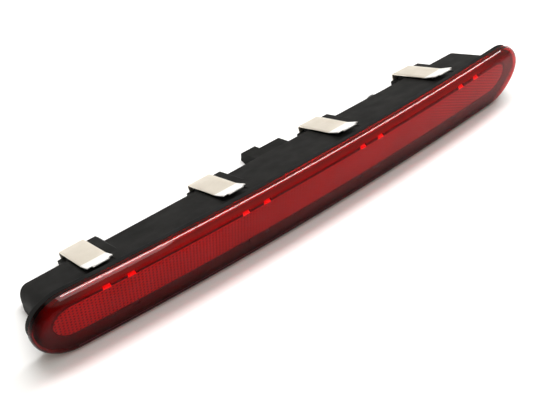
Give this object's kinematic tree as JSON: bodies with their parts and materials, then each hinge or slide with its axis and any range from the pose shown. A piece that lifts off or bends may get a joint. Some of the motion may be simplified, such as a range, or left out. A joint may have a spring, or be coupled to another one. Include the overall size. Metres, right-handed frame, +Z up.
{
  "type": "high-mount stop lamp",
  "caption": "Long pill-shaped red stop lamp with a bowed lens, patterned inner optic, black housing and sprung steel clips for a tailgate opening.",
  "frame": {"origin": "middle of the lens rim plane, where the lens meets the housing flange, at half the lens height", "axes": "+X along the lamp, -Y out through the lens, +Y into the vehicle body, +Z up with the clips on top"},
  "size_m": [0.412, 0.0761, 0.052],
  "materials": {
    "housing_black": "satin black moulded plastic",
    "lens_red": "clear red polished plastic",
    "bezel_dark": "dark moulded plastic",
    "optic_red": "red optic with a fine pattern of dots",
    "tray_white": "white moulded plastic",
    "board_green": "solder mask",
    "led_package": "white ceramic package with a clear dome",
    "chip_black": "moulded black package",
    "screw_steel": "zinc plated",
    "pin_tin": "tin plated",
    "carrier_natural": "natural nylon",
    "seal_rubber": "silicone rubber",
    "vent_grey": "dark grey plastic",
    "gasket_foam": "closed-cell foam rubber",
    "clip_steel": "bare spring steel, satin"
  },
  "bodies": {
    "root": {"housing": "housing_black", "outer_lens": "lens_red", "optic_bezel": "bezel_dark", "inner_optic": "optic_red", "light_tray": "tray_white", "circuit_board": "board_green", "leds": "led_package", "resistors": "chip_black", "diodes": "chip_black", "board_screws": "screw_steel", "terminal_pins": "pin_tin", "contact_carrier": "carrier_natural", "connector_seal": "seal_rubber", "vent_plug": "vent_grey", "gasket": "gasket_foam", "clip_anchor_1": "clip_steel", "clip_anchor_2": "clip_steel", "clip_anchor_3": "clip_steel", "clip_anchor_4": "clip_steel"},
    "clip_1": {"clip_arm_1": "clip_steel"},
    "clip_2": {"clip_arm_2": "clip_steel"},
    "clip_3": {"clip_arm_3": "clip_steel"},
    "clip_4": {"clip_arm_4": "clip_steel"}
  },
  "joints": [
    {"name": "clip_1_flex", "type": "hinge", "parent": "root", "child": "clip_1", "pos_m": [-0.1479, 0.06492, -0.01935], "axis": [1, 0, 0], "range_deg": [0, 3], "stiffness_Nm_per_rad": 0.3, "springref_deg": -2.86},
    {"name": "clip_2_flex", "type": "hinge", "parent": "root", "child": "clip_2", "pos_m": [-0.0493, 0.06195, -0.01772], "axis": [1, 0, 0], "range_deg": [0, 3], "stiffness_Nm_per_rad": 0.3, "springref_deg": -2.86},
    {"name": "clip_3_flex", "type": "hinge", "parent": "root", "child": "clip_3", "pos_m": [0.0493, 0.06195, -0.01772], "axis": [1, 0, 0], "range_deg": [0, 3], "stiffness_Nm_per_rad": 0.3, "springref_deg": -2.86},
    {"name": "clip_4_flex", "type": "hinge", "parent": "root", "child": "clip_4", "pos_m": [0.1479, 0.06492, -0.01935], "axis": [1, 0, 0], "range_deg": [0, 3], "stiffness_Nm_per_rad": 0.3, "springref_deg": -2.86}
  ]
}
